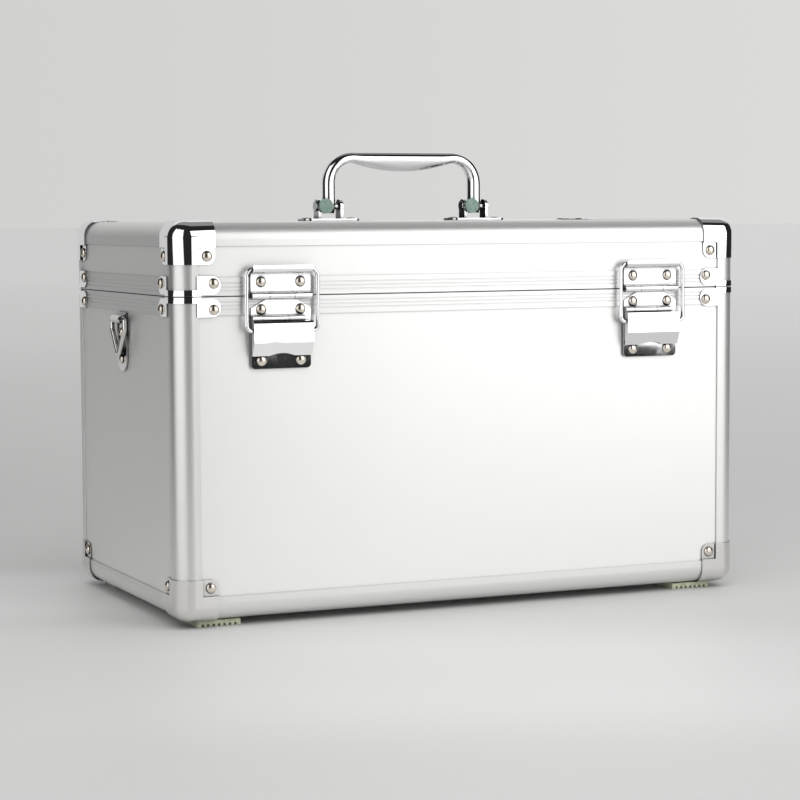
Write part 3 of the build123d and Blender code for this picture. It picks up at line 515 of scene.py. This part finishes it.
def plated(name, colour, polish, wave):
    """A mirror-like plating: its roughness, and how strongly the stamped sheet waves."""
    graph, shader = finish(name, colour, 1.0)
    smudge = graph.noise(graph.place(60), detail=4.0, roughness=0.6)
    ripple = graph.noise(graph.place(70), detail=1.0)
    scratch = graph.noise(graph.place((900, 900, 240)), detail=2.0)
    # The plating carries a painted shade deep in the gaps between parts.
    graph.put(shader.inputs["Base Color"], in_gaps(graph, (*colour, 1), CREVICE_SHADE, CREVICE_SHADE_DEPTH))
    graph.put(shader.inputs["Roughness"], polish + smudge.between(0.45, 0.75) * 0.06 + scratch * 0.02)
    graph.put(shader.inputs["Normal"], graph.bump(ripple, 0.0006, wave))


plated("chrome", (0.91, 0.915, 0.92), 0.03, 0.06)
plated("nickel", (0.80, 0.79, 0.77), 0.13, 0.06)
plated("rivet_nickel", (0.80, 0.73, 0.64), 0.20, 0.05)
print("plated finishes ready")

# %% [markdown]
# ## Zinc-plated arms
# The lift arms inside are plain steel strip, zinc plated.  Zinc dries in soft-edged patches, each
# mirroring a little differently.  Noise could stand for them, but a Voronoi pattern gives patches
# with borders directly.

# %% Arm finish
ZINC_DEEP = (0.60, 0.61, 0.63, 1)
ZINC_PALE = (0.72, 0.72, 0.72, 1)

graph, shader = finish("arm_steel", (0.66, 0.67, 0.68), 1.0)
patches = graph.cells(graph.place(260), 0.6)
graph.put(shader.inputs["Base Color"], graph.mixed(patches, ZINC_DEEP, ZINC_PALE))
graph.put(shader.inputs["Roughness"], 0.24 + patches * 0.18)
print("arm finish ready")

# %% [markdown]
# ## Rubber and plastic
# The feet are pale greenish rubber and the two pads on the handle are grey-green rubber, both dull
# with a fine grain and small lighter flecks.  One function makes both, since only their colours and
# dullness differ.

# %% Rubber finishes
def rubber(name, deep, pale, dullness):
    """Matt moulded rubber with a fine grain and soft flecks."""
    graph, shader = finish(name, pale[:3], 0.0, {"Specular IOR Level": 0.35})
    grain = graph.noise(graph.place(1800))
    flecks = graph.noise(graph.place(420), detail=2.0)
    graph.put(shader.inputs["Base Color"], graph.mixed(flecks.between(0.35, 0.65), deep, pale))
    graph.put(shader.inputs["Roughness"], dullness + grain * 0.15)
    graph.put(shader.inputs["Normal"], graph.bump(grain, 0.00006, 0.7))


rubber("foot_rubber", (0.50, 0.53, 0.385, 1), (0.63, 0.65, 0.48, 1), 0.55)
rubber("pad_rubber", (0.20, 0.285, 0.245, 1), (0.27, 0.37, 0.32, 1), 0.60)
print("rubber finishes ready")

# %% [markdown]
# The trays are moulded plastic with the pebbled grain of a spark-eroded mould, which hides
# scratches.  The pebbles are too small to be modelled, so cells drive a relief and the gloss.

# %% Plastic finish
PLASTIC_DEEP = (0.045, 0.046, 0.05, 1)
PLASTIC_PALE = (0.068, 0.07, 0.076, 1)

graph, shader = finish("tray_plastic", (0.055, 0.057, 0.062), 0.0, {"IOR": 1.49})
pebbles = graph.cells(graph.place(1300), 0.8)
wear = graph.noise(graph.place(35), detail=4.0)
graph.put(shader.inputs["Base Color"], graph.mixed(wear, PLASTIC_DEEP, PLASTIC_PALE))
graph.put(shader.inputs["Roughness"], 0.42 + pebbles * 0.15 + wear * 0.08)
graph.put(shader.inputs["Normal"], graph.bump(pebbles, 0.00008, 0.6))
print("plastic finish ready")

# %% [markdown]
# ## Lining cloth
# Inside, the walls are faced with a dark flocked cloth, and the same cloth covers the foam in the
# lid and on the floor.  Flock is a lawn of tiny fibres: seen straight on it is dark, and along the
# surface the fibre tips catch the light, which is what the sheen layer does.

# %% Cloth finishes
PILE = {"Sheen Weight": 0.45, "Sheen Roughness": 0.4, "Sheen Tint": (0.8, 0.82, 0.86, 1),
        "Specular IOR Level": 0.2}


def flocked(name, deep, pale):
    """Short-pile cloth: fibre specks, brushed patches, and light on the tips of the pile."""
    graph, shader = finish(name, pale[:3], 0.0, PILE)
    fibres = graph.noise(graph.place(2600), detail=2.0, roughness=0.7)
    brushed = graph.noise(graph.place(28))
    tone = fibres * 0.6 + brushed.between(0.3, 0.7) * 0.4
    graph.put(shader.inputs["Base Color"], graph.mixed(tone, deep, pale))
    graph.put(shader.inputs["Roughness"], 0.82 + fibres * 0.15)
    graph.put(shader.inputs["Normal"], graph.bump(fibres, 0.00025, 0.8))


flocked("lining_fabric", (0.024, 0.025, 0.029, 1), (0.060, 0.062, 0.070, 1))
flocked("pad_foam", (0.030, 0.031, 0.036, 1), (0.072, 0.075, 0.084, 1))
print("finishes ready:", len(finishes))

# %% [markdown]
# ## Dressing the frame
# Every metal node keeps its engineered shape.  Real sheet edges and mouldings are never knife
# sharp, and it is the tiny round along each edge that catches the light, so each node is welded and
# then bevelled by a fraction of a millimetre.  Shading would now bend across the flats beside each
# bevel, which a mirror finish shows at once, so a third modifier weights every normal by the area
# of its faces and keeps the flats flat.  All three are modifiers, so the frame isn't changed.

# %% Finishes and rounded edges
POSTS = ("body_corner_posts", "lid_corner_posts")
EDGE_ROUND = {
    0.00012: ("body_rim", "lid_rim"),
    0.0002: (*POSTS, "lid_top_trims", "body_bottom_trims"),
    0.00025: ("hinge_body_leaves", "hinge_lid_leaves"),
    0.0003: ("handle_brackets", "feet", "ring_plate_left", "ring_plate_right", "upper_dividers",
             "lower_dividers", "rear_arms", "front_arms", "lift_links", "latch_base_left",
             "latch_base_right"),
    0.0004: ("lid_top_corners", "body_bottom_corners", "handle_pads", "handle_pins",
             "strike_plate_left", "strike_plate_right"),
    0.0005: ("lid_rim_brackets", "body_rim_brackets", "upper_tray", "lower_tray"),
    0.0006: ("latch_lever_left", "latch_lever_right"),
}
WELD_WITHIN = 0.000002
BEVEL_OVER = 32
LEVER_BEVEL_OVER = 20

for name, node in nodes.items():
    for material_slot in node.material_slots:
        chosen = "edge_post" if name in POSTS else material_slot.material.name
        material_slot.material = finishes[chosen]

for width, names in EDGE_ROUND.items():
    for name in names:
        nodes[name].modifiers.new("weld", "WELD").merge_threshold = WELD_WITHIN
        rounding = nodes[name].modifiers.new("rounding", "BEVEL")
        rounding.width = width
        rounding.segments = 2
        rounding.limit_method = "ANGLE"
        rounding.angle_limit = radians(LEVER_BEVEL_OVER if "lever" in name else BEVEL_OVER)
        evening = nodes[name].modifiers.new("evening", "WEIGHTED_NORMAL")
        evening.keep_sharp = True
print("rounded", sum(len(names) for names in EDGE_ROUND.values()), "nodes of", len(nodes))

# %% [markdown]
# ## Reading the frame
# Rivets and lining panels come in groups: one node of the frame holds many separate solids.  Their
# places don't need to be typed in again, because the solids can be told apart in the mesh.  Each
# one is an island of vertices that are joined by edges.

# %% Islands of a node
SAME_POINT = 0.000001


def islands(node_name):
    """The lowest and highest corner of every separate solid of a node."""
    form = bmesh.new()
    form.from_mesh(nodes[node_name].data)
    bmesh.ops.remove_doubles(form, verts=form.verts, dist=SAME_POINT)
    waiting = set(form.verts)
    found = []
    while waiting:
        group = [waiting.pop()]
        for vertex in group:
            for edge in vertex.link_edges:
                other = edge.other_vert(vertex)
                if other in waiting:
                    waiting.remove(other)
                    group.append(other)
        points = [vertex.co for vertex in group]
        low = Vector([min(point[axis] for point in points) for axis in range(3)])
        high = Vector([max(point[axis] for point in points) for axis in range(3)])
        found.append((low, high))
    form.free()
    return sorted(found, key=lambda corners: tuple(corners[0]))


print("the body has", len(islands("body_rivets")), "rivets")

# %% [markdown]
# ## New pieces
# A piece that the frame only sketches is made from plain lists of points and faces.  Primitives and
# modifiers could do it too, but a list shows exactly where each point lies.  Every new piece says
# which body it moves with and which finish it has.

# %% Making a piece
def new_piece(name, points, faces, slot_name, body):
    """A smooth piece of the case, made from its points and faces."""
    mesh = bpy.data.meshes.new(name)
    mesh.from_pydata(points, [], faces)
    mesh.update()
    for face in mesh.polygons:
        face.use_smooth = True
    mesh.materials.append(finishes[slot_name])
    piece = bpy.data.objects.new(name, mesh)
    scene.collection.objects.link(piece)
    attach(piece, body)
    print(name, "has", len(faces), "faces")
    return piece


def close_up(piece):
    """Joins the points of a piece that lie in one place, which closes its seams."""
    form = bmesh.new()
    form.from_mesh(piece.data)
    bmesh.ops.remove_doubles(form, verts=form.verts, dist=SAME_POINT)
    form.to_mesh(piece.data)
    form.free()


print("pieces can wear", len(finishes), "finishes")

# %% [markdown]
# ## Rivet heads
# A set rivet has a full, smooth dome that is steep at its rim and nearly flat on top.  Turning a
# profile round an axis gives it, and a superellipse is a better profile than a circle, because one
# exponent makes the shoulder as full as on the real head.

# %% Rivets
AROUND = 28
DOME_STEPS = 8
SHOULDER = 2.1
HEAD_FULLNESS = (1.5, 1.5, 0.8)
HEAD_SPREAD = 1.1


def rivet_heads(name, node_name, body):
    """One piece with a domed head in place of every solid of the node."""
    points = []
    faces = []
    for low, high in islands(node_name):
        size = high - low
        thin = min(range(3), key=lambda axis: size[axis])
        first = (thin + 1) % 3
        second = (thin + 2) % 3
        middle = (low + high) / 2
        outward = 1 if thin == 2 or middle[thin] > 0 else -1
        foot = low[thin] if outward > 0 else high[thin]
        radius = max(size) / 2 * HEAD_SPREAD
        start = len(points)
        for step in range(DOME_STEPS + 1):
            wide = cos(step / DOME_STEPS * pi / 2) ** (2 / SHOULDER)
            tall = sin(step / DOME_STEPS * pi / 2) ** (2 / SHOULDER)
            for turn in range(AROUND):
                spot = [0.0, 0.0, 0.0]
                spot[thin] = foot + outward * tall * size[thin] * HEAD_FULLNESS[thin]
                spot[first] = middle[first] + radius * wide * cos(2 * pi * turn / AROUND)
                spot[second] = middle[second] + radius * wide * sin(2 * pi * turn / AROUND)
                points.append(spot)
        for step in range(DOME_STEPS):
            for turn in range(AROUND):
                here = start + step * AROUND + turn
                beside = start + step * AROUND + (turn + 1) % AROUND
                quad = (here, beside, beside + AROUND, here + AROUND)
                faces.append(quad if outward > 0 else quad[::-1])
        rim = tuple(range(start, start + AROUND))
        faces.append(rim[::-1] if outward > 0 else rim)
    heads = new_piece(name, points, faces, "rivet_nickel", body)
    close_up(heads)
    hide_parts(node_name)


rivet_heads("body_rivet_heads", "body_rivets", "case")
rivet_heads("lid_rivet_heads", "lid_rivets", "lid")

# %% [markdown]
# ## The handle
# The handle is one chromed bar: two upright legs, two bends and a grip that swells downwards to fill
# the hand.  Its section is a block with rounded corners, and along the grip the two lower corners
# grow into long, nearly flat slopes.  A curve with a bevel could make a bar of one section, but this
# one changes all the way, so it is swept step by step: at each station along it there is an outer
# point, an inner point and the section between them, and the swelling is only a change of numbers.

# %% Handle values
HALF_DEPTH = 0.0047
LEG_WIDTH = 0.0076
LEG_CORNER = 0.0031
OUTER_BEND = 0.020
GRIP_THICKNESS = 0.0074
GRIP_CORNER = 0.0046
GRIP_BELLY = 0.0050
BELLY_SLOPE = 0.0032
BELLY_FLATNESS = 0.8
WIDEST_CORNER = 0.98
TALLEST_CORNER = 0.49
FOOT_TURN = 88
FOOT_STEPS = 12
LEG_STEPS = 4
BEND_STEPS = 16
GRIP_STEPS = 18
CORNER_STEPS = 6

handle_low, handle_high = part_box("handle")
SPAN = handle_high[0]
GRIP_TOP = handle_high[2]
PIVOT_HEIGHT = handle_low[2] + HALF_DEPTH
BEND_START = GRIP_TOP - OUTER_BEND
STRAIGHT_HALF = SPAN - OUTER_BEND
print("handle", round(2 * SPAN, 4), "m wide, grip top at", round(GRIP_TOP, 4))

# %% [markdown]
# The stations of one half are listed from the rounded foot over the leg and the bend to the middle
# of the grip.  The other half is its mirror image, so it isn't worked out again.

# %% Handle stations
def handle_stations():
    """Outer and inner point, half depth, roundness and swelling of each section, foot to foot."""
    half = []
    for step in range(FOOT_STEPS + 1):
        turn = radians(FOOT_TURN * (1 - step / FOOT_STEPS))
        level = PIVOT_HEIGHT - HALF_DEPTH * sin(turn)
        half.append(((-SPAN, level), (-SPAN + LEG_WIDTH, level), HALF_DEPTH * cos(turn), 0.0, 0.0))
    for step in range(1, LEG_STEPS + 1):
        level = PIVOT_HEIGHT + (BEND_START - PIVOT_HEIGHT) * step / LEG_STEPS
        half.append(((-SPAN, level), (-SPAN + LEG_WIDTH, level), HALF_DEPTH, 0.0, 0.0))
    for step in range(1, BEND_STEPS + 1):
        share = step / BEND_STEPS
        turn = share * pi / 2
        inner = OUTER_BEND - LEG_WIDTH + (LEG_WIDTH - GRIP_THICKNESS) * share
        outer_point = (-STRAIGHT_HALF - OUTER_BEND * cos(turn), BEND_START + OUTER_BEND * sin(turn))
        inner_point = (-STRAIGHT_HALF - inner * cos(turn), BEND_START + inner * sin(turn))
        half.append((outer_point, inner_point, HALF_DEPTH, share, 0.0))
    for step in range(1, GRIP_STEPS + 1):
        where = -STRAIGHT_HALF * (1 - step / GRIP_STEPS)
        swelling = 1 - (where / STRAIGHT_HALF) ** 2
        under = GRIP_TOP - GRIP_THICKNESS - GRIP_BELLY * swelling
        half.append(((where, GRIP_TOP), (where, under), HALF_DEPTH, 1.0, swelling))
    other = [((-outer[0], outer[1]), (-inner[0], inner[1]), *rest) for outer, inner, *rest in half[:-1]]
    return half + other[::-1]


print("handle has", len(handle_stations()), "stations")

# %% [markdown]
# Each section is drawn once for its front half: the outer corner, then the slope.  The rear half is
# the same list backwards with its side turned.

# %% Handle section
def section(outer, inner, depth, roundness, swelling):
    """The ring of points round the bar at one station."""
    inward = Vector((inner[0] - outer[0], inner[1] - outer[1]))
    thick = inward.length
    inward = inward / thick
    corner = LEG_CORNER + (GRIP_CORNER - LEG_CORNER) * roundness
    wide = min(corner, depth * WIDEST_CORNER)
    tall = min(corner, thick * TALLEST_CORNER)
    slope = min(tall + BELLY_SLOPE * swelling, thick - tall)
    flatness = BELLY_FLATNESS * swelling
    upper = []
    lower = []
    for step in range(CORNER_STEPS + 1):
        share = step / CORNER_STEPS
        turn = share * pi / 2
        down = sin(turn) + (share - sin(turn)) * flatness
        inwards = 1 - cos(turn) + (share - 1 + cos(turn)) * flatness
        upper.append((tall * (1 - cos(turn)), depth - wide + wide * sin(turn)))
        lower.append((thick - slope + slope * down, depth - wide * inwards))
    front = upper + lower
    ring = [(along, -side) for along, side in front] + front[::-1]
    return [(outer[0] + inward.x * along, side, outer[1] + inward.y * along) for along, side in ring]


print("a section has", 4 * (CORNER_STEPS + 1), "points")

# %% [markdown]
# Neighbouring rings are joined by quads, and the two feet are closed by one face each.

# %% Handle bar
rings = [section(*station) for station in handle_stations()]
ring_size = len(rings[0])
bar_points = [point for ring in rings for point in ring]
bar_faces = []
for number in range(len(rings) - 1):
    for spot in range(ring_size):
        here = number * ring_size + spot
        beside = number * ring_size + (spot + 1) % ring_size
        bar_faces.append((here, beside, beside + ring_size, here + ring_size))
bar_faces.append(tuple(range(ring_size))[::-1])
bar_faces.append(tuple(range(len(bar_points) - ring_size, len(bar_points))))
handle_bar = new_piece("handle_bar", bar_points, bar_faces, "chrome", "handle_grip")
close_up(handle_bar)
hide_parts("handle")

# %% [markdown]
# ## Stretched linings
# The wall linings are cloth glued over thin card: tight and flat in the middle, with the edges turned
# back to the wall and very faint waves where the glue pulled.  A cloth simulation would only find
# that flat shape again, so each panel is a fine grid with the waves and the turned edge worked out,
# which makes them real shape and not only shading.

# %% Wall linings
LINING_GRID = 0.006
FEWEST_STEPS = 4
TURNED_ROWS = (0, 0.0002, 0.0009)
TURNED_EDGE = 0.0003
LIP_SHARE = 0.96
LIP_TOP = 0.96
TURNED_LIFT = 0.72
WAVE_HEIGHT = 0.00010
WAVE_FADE = 0.012


def wave(first, second):
    """A gentle unevenness between -1 and 1 that is the same on every run."""
    slow = sin(first * 61 + second * 23)
    crossing = sin(first * 37 - second * 71 + 1.3)
    quick = sin(second * 113 + 0.7)
    return (slow + crossing + quick) / 3


def lining_rows(length):
    """Where the grid lines stand: evenly spaced, with two more close to each turned edge."""
    count = max(FEWEST_STEPS, round(length / LINING_GRID))
    even = [length * number / count for number in range(1, count)]
    return [*TURNED_ROWS, *even, *(length - row for row in TURNED_ROWS[::-1])]


def lining_panel(name, body, low, high):
    """One stretched panel: a grid that faces the inside, its border turned back to the wall."""
    size = high - low
    thin = min(range(3), key=lambda axis: size[axis])
    wide = 1 - thin
    outward = 1 if low[thin] > 0 else -1
    wall = high[thin] if outward > 0 else low[thin]
    lip = size[thin] * LIP_SHARE
    rows_across = lining_rows(size[wide])
    rows_up = lining_rows(size[2])
    points = []
    for a in rows_across:
        for b in rows_up:
            edge = min(a, b, size[wide] - a, size[2] - b)
            lift = 0.0 if edge <= 0 else (TURNED_LIFT if edge < TURNED_EDGE else 1.0)
            ripple = WAVE_HEIGHT * wave(a, b) * min(1, edge / WAVE_FADE)
            spot = [0.0, 0.0, low[2] + b]
            spot[wide] = low[wide] + a
            spot[thin] = wall - outward * (lip * lift * LIP_TOP + ripple)
            points.append(spot)
    tall = len(rows_up)
    # The corners of each face are listed in the order that makes it look into the case.
    second, fourth = (1, tall) if (thin == 0) == (outward > 0) else (tall, 1)
    faces = []
    for a in range(len(rows_across) - 1):
        for b in range(tall - 1):
            here = a * tall + b
            faces.append((here, here + second, here + tall + 1, here + fourth))
    panel = new_piece(name, points, faces, "lining_fabric", body)
    size[wide] + 2 * lip
    size[2] + 2 * lip
    return panel


for part_name, body in (("body", "case"), ("lid", "lid")):
    node_name = part_name + "_wall_lining"
    lined = [lining_panel(part_name + "_lining_" + str(number), body, low, high)
             for number, (low, high) in enumerate(islands(node_name))]
    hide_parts(node_name)

# %% [markdown]
# ## Foam pads
# A cloth-covered foam pad lies on the floor and another is glued under the lid.  Both are thin: the
# cloth pulls the foam round at the rim, and a sewn channel runs inside the edge with small puckers at
# its stitches.  A cloth simulation suits a fat cushion, but a pad three millimetres thick only
# shows its rim and its channel, so here a height for each point of a grid says all of it.

# %% Height of a pad
ROLL = 0.0022
CHANNEL_AT = 0.016
CHANNEL_HALF = 0.0022
CHANNEL_DEPTH = 0.42
STITCH = 0.0045
PAD_FULLNESS = 0.93
PAD_WAVE = 0.05
PAD_EDGE = 0.022
PAD_GRID = 0.0035
RIM_ROWS = [0, 0.0004, 0.0010, 0.0018, 0.003, 0.006, 0.010,
            0.0138, 0.0149, 0.016, 0.0171, 0.0182, PAD_EDGE]


def pad_height(edge, along_edge, first, second):
    """The share of the full thickness at a point of the pad."""
    share = min(edge / ROLL, 1.0)
    height = sqrt(max(0.0, 1 - (1 - share) ** 2))
    offset = (edge - CHANNEL_AT) / CHANNEL_HALF
    groove = max(0.0, 1 - offset * offset)
    pucker = 0.75 + 0.25 * cos(2 * pi * along_edge / STITCH)
    return height * (PAD_FULLNESS + PAD_WAVE * wave(first, second)) - CHANNEL_DEPTH * groove * pucker


def pad_rows(length):
    """Where the grid lines stand: closer together near the rim and the channel."""
    open_length = length - 2 * PAD_EDGE
    count = round(open_length / PAD_GRID)
    middle = [PAD_EDGE + open_length * number / count for number in range(1, count)]
    return RIM_ROWS + middle + [length - row for row in RIM_ROWS[::-1]]


print("a stitch every", STITCH, "m")

# %% [markdown]
# The rounded side is a grid, and the back is the same grid laid flat, with its faces turned over.
# The height is nothing at the border, so the two meet there, and joining their points closes the
# pad.

# %% Pads
def foam_pad(name, node_name, body, upward):
    """A thin padded piece whose rounded side faces up, or down for the lid."""
    low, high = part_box(node_name)
    width = high[0] - low[0]
    depth = high[1] - low[1]
    thick = high[2] - low[2]
    rows_across = pad_rows(width)
    rows_deep = pad_rows(depth)
    points = []
    for a in rows_across:
        for b in rows_deep:
            side_a = min(a, width - a)
            side_b = min(b, depth - b)
            height = pad_height(min(side_a, side_b), b if side_a < side_b else a, a, b) * thick
            points.append((low[0] + a, low[1] + b, low[2] + height if upward else high[2] - height))
    count = len(points)
    tall = len(rows_deep)
    faces = []
    for a in range(len(rows_across) - 1):
        for b in range(tall - 1):
            here = a * tall + b
            quad = (here, here + tall, here + tall + 1, here + 1)
            faces.append(quad if upward else quad[::-1])
    faces += [tuple(corner + count for corner in quad[::-1]) for quad in faces]
    back = low[2] if upward else high[2]
    points += [(x, y, back) for x, y, _ in points]
    pad = new_piece(name, points, faces, "pad_foam", body)
    close_up(pad)
    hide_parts(node_name)


foam_pad("floor_pad", "floor_mat", "case", True)
foam_pad("lid_foam_pad", "lid_pad", "lid", False)
